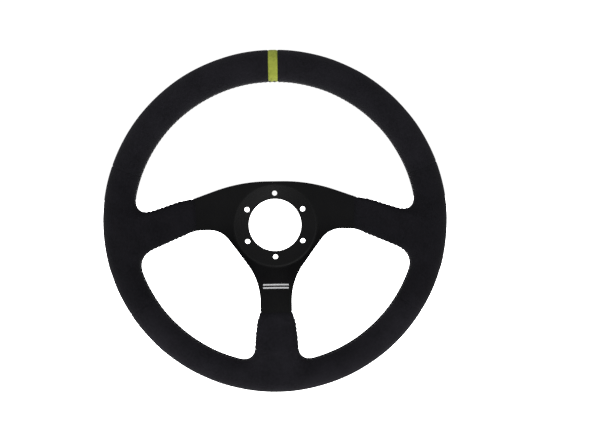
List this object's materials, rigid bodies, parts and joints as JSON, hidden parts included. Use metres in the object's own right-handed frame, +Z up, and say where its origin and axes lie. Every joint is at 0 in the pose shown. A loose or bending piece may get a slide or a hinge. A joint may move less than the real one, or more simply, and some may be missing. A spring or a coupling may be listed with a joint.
{
  "type": "steering wheel",
  "caption": "Dished spoked competition steering wheel: suede grip over foam, black anodised spoke plate, bright centre marker and a bolt-circle hub with an open centre.",
  "frame": {"origin": "centre of the hub's rear mounting face, on the wheel's axis", "axes": "+Y along the steering axis away from the driver, so the grip is on the -Y side; +Z up through the centre marker; +X to the driver's right"},
  "size_m": [0.35, 0.0457, 0.35],
  "materials": {
    "plate_anodised": "satin black anodised",
    "print_grey": "screen-printed ink",
    "steel": "bare rolled steel",
    "rivet_aluminium": "bare",
    "foam": "moulded polyurethane foam skin",
    "suede_black": "brushed suede nap",
    "suede_yellow": "brushed suede nap, yellow",
    "thread_black": "waxed twisted polyester"
  },
  "bodies": {
    "root": {"spoke_plate": "plate_anodised", "spoke_mark": "print_grey", "rim_tube": "steel", "lug_left": "steel", "lug_right": "steel", "lug_lower": "steel", "rivets_left": "rivet_aluminium", "rivets_right": "rivet_aluminium", "rivets_lower": "rivet_aluminium", "grip_foam": "foam", "hide_upper_left": "suede_black", "hide_upper_right": "suede_black", "hide_side_left": "suede_black", "hide_side_right": "suede_black", "hide_bottom": "suede_black", "marker_band": "suede_yellow", "thread_upper": "thread_black", "thread_lower_left": "thread_black", "thread_lower_right": "thread_black"}
  },
  "joints": []
}
